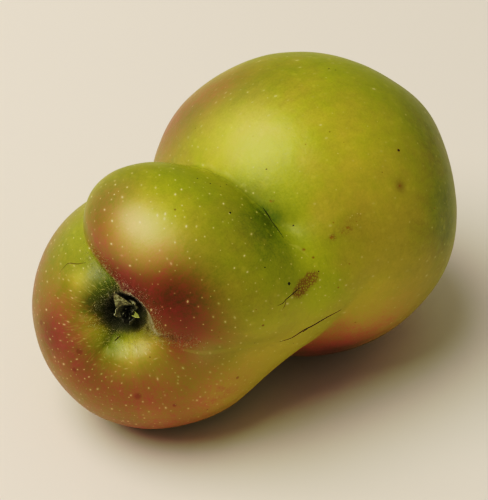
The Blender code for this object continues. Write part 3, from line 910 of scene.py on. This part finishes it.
# Ground colour: green or red, deep or light, all mottled and streaked.
patterns = (wide, streak, mottle, fine)
swing = times(tree, spreads(tree, patterns, BLUSH_SWINGS), rise(tree, blush, 0.0, 0.5, 0.12, 1.0))
blush = within_one(tree, total(tree, blush, swing))
tone = within_one(tree, total(tree, tone, spreads(tree, patterns, TONE_SWINGS)))
grassy = rise(tree, total(tree, hues[0], spread(tree, hue, 0.9), spread(tree, mottle, 0.4)), 0.0, 1.0)
green = blend(tree, tone, blend(tree, grassy, *DEEP_GREENS), blend(tree, grassy, *LIGHT_GREENS))
colour = blend(tree, blush, green, blend(tree, tone, *REDS))

# Painted highlights in a pale wax colour, paler specks under the skin, and painted shade by the sharp
# part of the neck crease.
painted_highlight = times(tree, hues[1], rise(tree, fine, 0.25, 0.75, 0.8, 1.1))
colour = blend(tree, painted_highlight, colour, HIGHLIGHT_COLOUR)
speck = node(tree, "TexVoronoi", {"Vector": place, "Scale": SPECK_SCALE}).outputs["Distance"]
speck_share = times(tree, rise(tree, wide, 0.35, 0.65, 0.05, 0.20), rise(tree, blush, 0.4, 0.0))
colour = blend(tree, times(tree, rise(tree, speck, 0.30, 0.08), speck_share), colour, SPECK_COLOUR)
crease_gap = total(tree, sums(tree, "ABSOLUTE", borders[1]), times(tree, marks[2], 6.0))
crease_gap = total(tree, crease_gap, spread(tree, mottle, 0.35))
# Painted shade on both sides of the sharp upper part of the neck crease.
crease_shade = times(tree, rise(tree, crease_gap, 2.4, 0.1, 0.0, 0.28), hues[2])
colour = blend(tree, crease_shade, colour, CREASE_SHADE)

# Basin: fine pale streaks run down into it, and the pit itself is dark and downy: partly its own dark
# tissue and partly painted shade, painted lighter on the side where light reaches in.
lines = times(tree, rise(tree, fine_streak, 0.52, 0.68), rise(tree, mottle, 0.40, 0.60, 0.3, 1.0))
colour = blend(tree, times(tree, lines, pits[2], 0.26), colour, BASIN_LINES)
pit_colour = blend(tree, pits[1], *PIT_SHADED_AND_LIT_WALLS)
pit_colour = blend(tree, rise(tree, fine_streak, 0.45, 0.7, 0.0, 0.5), pit_colour, PIT_DOWN)
colour = blend(tree, pits[0], colour, pit_colour)

# Pores, with a faint halo each.
size = spot_size(tree, pore)
pore_mask = times(tree, rise(tree, size, 1.25, 0.65), pore[2])
halo = times(tree, rise(tree, size, 3.0, 1.0), pore[2], 0.16)
pore_colour = blend(tree, blush, *PORE_COLOURS)
colour = blend(tree, halo, colour, pore_colour)
colour = blend(tree, pore_mask, colour, pore_colour)

# Russet: corky brown net in a few patches and round the stalk cavity.
net = node(tree, "TexVoronoi", {"Vector": place, "Scale": NET_SCALE}, feature="DISTANCE_TO_EDGE").outputs[0]
cork = total(tree, marks[0], times(tree, marks[1], 0.75), spread(tree, mottle, 0.9))
cork = total(tree, cork, times(tree, spread(tree, streak, 1.6), marks[1]))
russet = times(tree, rise(tree, cork, 0.35, 0.85), rise(tree, net, 0.22, 0.04, 0.35, 1.0))
colour = blend(tree, times(tree, russet, 0.85), colour, RUSSET_COLOUR)

# Blemishes, with ragged edges.
black, brown, bruise = BLEMISH_COLOURS
ragged = total(tree, spot_size(tree, blemish), spread(tree, fine, 0.9))
blemish_mask = times(tree, rise(tree, ragged, 1.40, 0.40), rise(tree, blemish[2], 0.2, 1.0, 0.95, 0.36))
blemish_colour = blend(tree, rise(tree, blemish[2], 0.0, 0.5), black, brown)
blemish_colour = blend(tree, rise(tree, blemish[2], 0.5, 0.9), blemish_colour, bruise)
colour = blend(tree, blemish_mask, colour, blemish_colour)

# Growth cracks and scars, and pale lines; the pale line along the ridge by the neck is a painted highlight.
crack, scar, pale_line_and_highlight = SEAM_COLOURS
seam_width = sums(tree, "ABSOLUTE", total(tree, seam[0], spread(tree, fine, 1.1)))
on_seam = times(tree, rise(tree, seam_width, 1.3, 0.4), rise(tree, seam[1], 0.3, 0.0))
seam_colour = blend(tree, rise(tree, seam[2], 0.1, 0.5), crack, scar)
seam_colour = blend(tree, rise(tree, seam[2], 0.6, 0.9), seam_colour, pale_line_and_highlight)
colour = blend(tree, times(tree, on_seam, rise(tree, seam[2], 0.4, 1.0, 0.95, 0.15)), colour, seam_colour)

# The bottoms of the sharp creases are painted dark: painted shade, and the dust they hold.
crease = times(tree, rise(tree, crease_gap, 0.34, 0.06, 0.0, 0.15), hues[2])
colour = blend(tree, crease, colour, CREASE_DUST_AND_SHADE)
tree.links.new(colour, shader.inputs["Base Color"])

# Wax: glossy where smooth, matt on pores, cracks, russet, the pit and by the neck crease.
matt_crease = times(tree, rise(tree, crease_gap, 2.2, 0.2, 0.0, 0.40), hues[2])
rough = total(tree, rise(tree, fine, 0.2, 0.8, 0.34, 0.45), times(tree, pore_mask, 0.12),
              times(tree, on_seam, 0.25), times(tree, russet, 0.25), times(tree, pits[0], 0.30), matt_crease)
tree.links.new(rough, shader.inputs["Roughness"])
dark_seam = rise(tree, seam[2], 0.75, 0.25)
height = total(tree, spread(tree, hue, 0.55), spread(tree, mottle, 0.26), spread(tree, fine, 0.09),
               times(tree, spread(tree, fine_streak, 0.35), pits[2]), times(tree, pore_mask, 0.06),
               times(tree, on_seam, dark_seam, -0.5), times(tree, russet, 0.10),
               times(tree, blemish_mask, -0.10))
bump = node(tree, "Bump", {**SKIN_BUMP, "Height": height})
tree.links.new(bump.outputs[0], shader.inputs["Normal"])
shader.inputs["Specular IOR Level"].default_value = SKIN_SPECULAR
fruit.data.materials.append(skin)
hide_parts("fruit")
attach(fruit, "root")

# Down: short pale hairs that an apple keeps on the lip and the wall of its calyx basin. They grow out of
# the skin. Each is a thin three-sided cone, written straight into one mesh, since there are thousands.
DOWN_COUNT = 6400
DOWN_RADIUS = 0.028
DOWN_LENGTHS = (0.30, 0.75)
DOWN_STRAYS = 0.55
DOWN_LEANS_OUT = 0.35
PIT_DOWN_SHARE = 0.5
DOWN_COLOURS = ((0.46, 0.43, 0.28, 1.0), (0.80, 0.76, 0.60, 1.0))
DOWN_CORNERS = (0.0, 2.094, 4.189)
small, fold, _ = lobes(middles)
from_pit = (middles - np.array(CALYX_POINT)) @ SMALL_TURN
ring = np.hypot(from_pit[:, 0], from_pit[:, 1])
lip_gap = np.abs(small - fold)
by_lip = ease(lip_gap, 3.4, 0.2) * ease(ring, 20.0, 10.0) * ease(from_pit[:, 2], -8.0, -2.0)
by_pit = PIT_DOWN_SHARE * ease(ring, 10.0, 6.0) * ease(from_pit[:, 2], -4.0, 0.0)
weight = areas * (by_lip + by_pit) * (face_normals @ CALYX_UNIT > -0.4)
roots = rng.choice(len(areas), DOWN_COUNT, p=weight / weight.sum())
barycentric = rng.dirichlet((1.0, 1.0, 1.0), DOWN_COUNT)
base = np.einsum("ij,ijk->ik", barycentric, corner_points[roots])
up = face_normals[roots]
lean = rng.normal(0.0, DOWN_STRAYS, (DOWN_COUNT, 3)) + DOWN_LEANS_OUT * CALYX_UNIT
reach = up + lean
reach *= (rng.uniform(*DOWN_LENGTHS, DOWN_COUNT) / lengths(reach))[:, None]
level = np.cross(reach, (0.3, 0.2, 0.9))
level /= lengths(level)[:, None]
other = np.cross(reach, level)
other /= lengths(other)[:, None]
rim = [base + DOWN_RADIUS * (math.cos(a) * level + math.sin(a) * other) for a in DOWN_CORNERS]
hair_points = np.clip(np.stack(rim + [base + reach], axis=1).reshape(-1, 3), low, high)
first = np.arange(DOWN_COUNT)[:, None] * 4
hair_faces = np.concatenate([first + np.array(f) for f in ((0, 1, 3), (1, 2, 3), (2, 0, 3))])
down_mesh = bpy.data.meshes.new("basin_down")
down_mesh.from_pydata((hair_points * MM).tolist(), [], hair_faces.tolist())
down = bpy.data.objects.new("basin_down", down_mesh)
bpy.context.scene.collection.objects.link(down)
hair, tree, shader = new_material("pale_down")
place = node(tree, "TexCoord").outputs["Object"]
shade = rise(tree, noise(tree, place, 500.0), 0.3, 0.7)
tree.links.new(blend(tree, shade, *DOWN_COLOURS), shader.inputs["Base Color"])
tree.links.new(rise(tree, shade, 0.0, 1.0, 0.6, 0.8), shader.inputs["Roughness"])
down.data.materials.append(hair)
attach(down, "root")


# Calyx: the dried remains of the flower, a ring of curled, downy sepals round a tuft of dead stamens.
# It grew there and stands in the bottom of the pit.
def finish(obj, kind, **settings):
    """Adds a modifier to a piece and applies it."""
    modifier = obj.modifiers.new(kind.title(), kind)
    for key, value in settings.items():
        setattr(modifier, key, value)
    bpy.ops.object.select_all(action="DESELECT")
    obj.select_set(True)
    bpy.context.view_layer.objects.active = obj
    bpy.ops.object.modifier_apply(modifier=modifier.name)


def set_shade(obj, value):
    attribute = obj.data.attributes.new("shade", "FLOAT", "POINT")
    attribute.data.foreach_set("value", np.full(len(obj.data.vertices), value))


# Sepals: turn round the axis, length, width, lean from the axis, curl, twist, and shade, from 0, brown,
# through 0.5, grey green, to 1, fresh yellow green.
SEPALS = (
    (118.0, 6.8, 4.2, 0.15, 1.30, 0.45, 0.60),
    (176.0, 5.8, 3.0, 0.45, -0.3, -0.6, 0.50),
    (238.0, 5.2, 3.2, 0.60, -1.0, 0.3, 0.12),
    (300.0, 5.6, 2.8, 0.75, -1.3, -0.4, 0.20),
    (-12.0, 5.2, 1.5, 0.22, 0.2, 0.9, 0.92),
    (58.0, 5.8, 3.4, 0.80, -0.8, 0.2, 0.50),
)
CALYX_SEED = 11
SEPAL_ROOT = 1.1
SEPAL_FOOT = -1.7
SEPAL_THICKNESS = 0.28
STAMEN_COUNT = 16
STAMEN_RADIUS = 0.15
STAMEN_LENGTH = 3.4
STAMEN_BEND = 1.4
STAMEN_TILT = 0.6
STAMEN_PLACE = (0.7, 0.0, -0.8)
stray = random.Random(CALYX_SEED)
calyx_frame = Matrix.Translation(Vector(CALYX_POINT) * MM) @ Matrix(SMALL_TURN.tolist()).to_4x4()
calyx_parts = []
for turn_deg, length, width, lean, curl, twist, tint in SEPALS:
    bpy.ops.object.select_all(action="DESELECT")
    bpy.ops.mesh.primitive_grid_add(x_subdivisions=16, y_subdivisions=8, size=1.0)
    sepal = bpy.context.object
    for vert in sepal.data.vertices:
        along = vert.co.x + 0.5
        side = 2.0 * vert.co.y
        angle = lean + 0.5 * curl * along
        wave = 0.22 * math.sin(7.0 * along + 2.5 * side + turn_deg)
        half_width = 0.5 * width * (0.75 + 0.9 * along - 1.55 * along**2) + 0.1
        cup = 0.55 * side * side * (1.0 - 0.6 * along)
        out = SEPAL_ROOT + length * along * math.sin(angle) - cup + wave * along
        up = SEPAL_FOOT + length * along * math.cos(angle) + 0.15 * wave
        spin = twist * along
        across = half_width * side
        vert.co = Vector((out + across * math.sin(spin), across * math.cos(spin), up)) * MM
    finish(sepal, "SOLIDIFY", thickness=SEPAL_THICKNESS * MM, offset=0.0)
    finish(sepal, "SUBSURF", levels=1, render_levels=1)
    sepal.data.transform(calyx_frame @ Matrix.Rotation(math.radians(turn_deg), 4, "Z"))
    set_shade(sepal, tint)
    calyx_parts.append(sepal)
for number in range(STAMEN_COUNT):
    bpy.ops.object.select_all(action="DESELECT")
    bpy.ops.mesh.primitive_cylinder_add(vertices=6, radius=STAMEN_RADIUS * MM, depth=STAMEN_LENGTH * MM)
    stamen = bpy.context.object
    in_edit_mode(stamen, (bpy.ops.mesh.subdivide, {"number_cuts": 3}))
    bend = stray.uniform(-STAMEN_BEND, STAMEN_BEND)
    finish(stamen, "SIMPLE_DEFORM", deform_method="BEND", angle=bend, deform_axis="X")
    tilt = Matrix.Rotation(stray.uniform(0.0, STAMEN_TILT), 4, "Y")
    around = Matrix.Rotation(2.0 * math.pi * (number + stray.random() * 0.5) / STAMEN_COUNT, 4, "Z")
    stamen.data.transform(calyx_frame @ around @ Matrix.Translation(Vector(STAMEN_PLACE) * MM) @ tilt)
    set_shade(stamen, stray.choice((0.0, 0.0, 0.15, 0.6)))
    calyx_parts.append(stamen)
bpy.ops.object.select_all(action="DESELECT")
for piece in calyx_parts:
    piece.select_set(True)
bpy.context.view_layer.objects.active = calyx_parts[0]
bpy.ops.object.join()
calyx = bpy.context.object
calyx.name = "dried_sepals_and_stamens"
calyx.data.shade_smooth()

# Dry grain: the flecked, cracked look of dead plant tissue, for the calyx and the stalk.
GRAIN_BUMP = 0.8
GRAIN_DEPTH = 0.0003
grain = bpy.data.node_groups.new("dry_grain", "ShaderNodeTree")
for name, kind in (("Vector", "Vector"), ("Scale", "Float"), ("Dark", "Color"), ("Light", "Color"),
                   ("Fleck", "Color"), ("Fleck Amount", "Float")):
    grain.interface.new_socket(name, in_out="INPUT", socket_type="NodeSocket" + kind)
for name, kind in (("Color", "Color"), ("Height", "Float"), ("Roughness", "Float")):
    grain.interface.new_socket(name, in_out="OUTPUT", socket_type="NodeSocket" + kind)
given = grain.nodes.new("NodeGroupInput").outputs
coarse = noise(grain, given["Vector"], given["Scale"], 3.0, 0.6)
small_grain = noise(grain, given["Vector"], times(grain, given["Scale"], 4.0), 3.0, 0.65)
colour = blend(grain, rise(grain, coarse, 0.35, 0.65), given["Dark"], given["Light"])
flecks = times(grain, rise(grain, small_grain, 0.52, 0.70), given["Fleck Amount"])
colour = blend(grain, flecks, colour, given["Fleck"])
result = grain.nodes.new("NodeGroupOutput").inputs
grain.links.new(colour, result["Color"])
grain.links.new(total(grain, times(grain, coarse, 0.6), times(grain, small_grain, 0.4)), result["Height"])
grain.links.new(rise(grain, coarse, 0.2, 0.8, 0.72, 0.95), result["Roughness"])


def dry_material(name, bump_distance, **inputs):
    """A material that takes colour, roughness and relief from the dry grain."""
    material, tree, shader = new_material(name)
    grained = tree.nodes.new("ShaderNodeGroup")
    grained.node_tree = grain
    for key, value in inputs.items():
        grained.inputs[key.replace("_", " ")].default_value = value
    tree.links.new(node(tree, "TexCoord").outputs["Object"], grained.inputs["Vector"])
    tree.links.new(grained.outputs["Roughness"], shader.inputs["Roughness"])
    relief = {"Strength": GRAIN_BUMP, "Distance": bump_distance, "Height": grained.outputs["Height"]}
    tree.links.new(node(tree, "Bump", relief).outputs[0], shader.inputs["Normal"])
    return material, tree, shader, grained.outputs["Color"]


# The sepals are pale with down, and painted lighter still to make up for the shade of the pit they sit in.
dried, tree, shader, colour = dry_material(
    "dried_downy_sepals", GRAIN_DEPTH, Scale=900.0, Dark=(0.24, 0.25, 0.13, 1.0),
    Light=(0.64, 0.66, 0.44, 1.0), Fleck=(0.92, 0.92, 0.80, 1.0), Fleck_Amount=0.8,
)
shade = node(tree, "Attribute", attribute_name="shade").outputs["Fac"]
colour = blend(tree, rise(tree, shade, 0.45, 0.0, 0.0, 0.9), colour, (0.016, 0.010, 0.005, 1.0))
colour = blend(tree, rise(tree, shade, 0.7, 1.0, 0.0, 0.8), colour, (0.56, 0.62, 0.14, 1.0))
tree.links.new(colour, shader.inputs["Base Color"])
calyx.data.materials.append(dried)
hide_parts("calyx")
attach(calyx, "root")

# Stalk: a short woody stub, ribbed and a little bent, broken off when the fruit was picked. It grows out
# of the bottom of the stalk cavity at the far end of the large lobe.
STALK_FOOT = -5.2
STALK_TOP = 7.2
STALK_SIDES = 30
STALK_RINGS = 26
STALK_GIRTH = 0.98
STALK_INSET = 0.35
FLARE_START = 0.72
FLARE_HEIGHT = 0.42
bpy.ops.object.select_all(action="DESELECT")
foot = (0.0, 0.0, STALK_FOOT)
bpy.ops.mesh.primitive_circle_add(vertices=STALK_SIDES, radius=1.0, fill_type="NGON", location=foot)
stalk = bpy.context.object
bpy.ops.object.transform_apply(location=True)
stalk.name = "woody_stalk"
step = (0.0, 0.0, (STALK_TOP - STALK_FOOT) / STALK_RINGS)
one_ring = (bpy.ops.mesh.extrude_region_move, {"TRANSFORM_OT_translate": {"value": step}})
one_inset = (bpy.ops.mesh.inset, {"thickness": STALK_INSET})
in_edit_mode(
    stalk,
    (bpy.ops.mesh.select_all, {"action": "SELECT"}),
    *[one_ring] * STALK_RINGS,
    one_inset,
    one_inset,
    (bpy.ops.mesh.select_all, {"action": "SELECT"}),
    (bpy.ops.mesh.normals_make_consistent, {"inside": False}),
)
for vert in stalk.data.vertices:
    share = (vert.co.z - STALK_FOOT) / (STALK_TOP - STALK_FOOT)
    angle = math.atan2(vert.co.y, vert.co.x)
    rib = 0.06 * math.cos(5.0 * angle + 2.0 * share) + 0.03 * math.cos(11.0 * angle - 3.0 * share)
    knobs = 0.05 * perlin.noise(Vector((vert.co.x, vert.co.y, vert.co.z * 0.8)) * 1.4)
    flare = FLARE_HEIGHT * max(0.0, (share - FLARE_START) / (1.0 - FLARE_START)) ** 1.5
    waist = -0.12 * math.sin(math.pi * share)
    girth = STALK_GIRTH + flare + waist + rib + knobs
    broken = 0.35 * perlin.noise(Vector((vert.co.x * 2.2, vert.co.y * 2.2, 4.0))) if share > 0.99 else 0.0
    bend = 0.9 * share * share - 0.35
    across, back = vert.co.x * girth + bend * 0.5, vert.co.y * girth + bend * 0.3
    vert.co = Vector((across, back, vert.co.z + broken - 0.1))
stalk.data.transform(Matrix.Scale(MM, 4))
stalk_turn = Vector(STALK_UNIT).to_track_quat("Z", "Y").to_matrix().to_4x4()
stalk.data.transform(Matrix.Translation(Vector(STALK_POINT) * MM) @ stalk_turn)
stalk.data.shade_smooth()
wood, tree, shader, colour = dry_material(
    "woody_bark", GRAIN_DEPTH, Scale=700.0, Dark=(0.045, 0.026, 0.012, 1.0),
    Light=(0.20, 0.125, 0.06, 1.0), Fleck=(0.36, 0.28, 0.16, 1.0), Fleck_Amount=0.35,
)
tree.links.new(colour, shader.inputs["Base Color"])
stalk.data.materials.append(wood)
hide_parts("stalk")
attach(stalk, "root")

# Table and light: a pale matt surface under a soft window light from the upper left. Lamps by direction,
# distance, size, power and colour.
TABLE_SIZE = 4.0
PAPER_COLOURS = ((0.78, 0.74, 0.64, 1.0), (0.82, 0.78, 0.68, 1.0))
PAPER_SPECULAR = 0.2
ROOM_COLOUR = (1.0, 0.90, 0.77, 1.0)
ROOM_STRENGTH = 0.33
bpy.ops.object.select_all(action="DESELECT")
bpy.ops.mesh.primitive_plane_add(size=TABLE_SIZE, location=(0.0, 0.0, 0.0))
table = bpy.context.object
table.name = "pale_table"
paper, tree, shader = new_material("pale_matt_paper")
place = node(tree, "TexCoord").outputs["Object"]
cloud = noise(tree, place, 3.0)
tree.links.new(blend(tree, cloud, *PAPER_COLOURS), shader.inputs["Base Color"])
tree.links.new(rise(tree, cloud, 0.3, 0.7, 0.86, 0.94), shader.inputs["Roughness"])
shader.inputs["Specular IOR Level"].default_value = PAPER_SPECULAR
table.data.materials.append(paper)

LIGHTS = (
    ("window", (-0.45, 0.17, 0.88), 1800.0, 1.6, 26.0, (1.0, 0.97, 0.92)),
    ("far_wall", (-0.20, 0.90, 0.45), 900.0, 1.0, 1.2, (1.0, 0.97, 0.92)),
)
LIGHT_AIM = (0.0, 0.0, 35.0)
for name, direction, distance, size, power, colour in LIGHTS:
    bpy.ops.object.light_add(type="AREA")
    lamp = bpy.context.object
    lamp.name = name
    lamp.data.shape = "DISK"
    lamp.data.size = size
    lamp.data.energy = power
    lamp.data.color = colour
    away = Vector(direction).normalized()
    stand = Matrix.Translation((Vector(LIGHT_AIM) + distance * away) * MM)
    lamp.matrix_world = stand @ away.to_track_quat("Z", "Y").to_matrix().to_4x4()
world = bpy.data.worlds.new("soft_room")
world.use_nodes = True
world.node_tree.nodes["Background"].inputs["Color"].default_value = ROOM_COLOUR
world.node_tree.nodes["Background"].inputs["Strength"].default_value = ROOM_STRENGTH
bpy.context.scene.world = world

# Print: the photograph has deep shadows, so its dark tones are drawn down a little.
TONE_CURVE = (
    (0.05, 0.012), (0.10, 0.036), (0.125, 0.058), (0.15, 0.092), (0.18, 0.138), (0.225, 0.193),
    (0.30, 0.278), (0.45, 0.465), (0.70, 0.705),
)
BLUE_CURVE = (
    (0.05, 0.013), (0.08, 0.030), (0.10, 0.046), (0.15, 0.098), (0.20, 0.162), (0.30, 0.285), (0.45, 0.465),
)
view = bpy.context.scene.view_settings
view.view_transform = "Standard"
view.use_curve_mapping = True
for curve, pairs in zip(view.curve_mapping.curves, (TONE_CURVE, TONE_CURVE, BLUE_CURVE)):
    for given, shown in pairs:
        curve.points.new(given, shown)
view.curve_mapping.update()
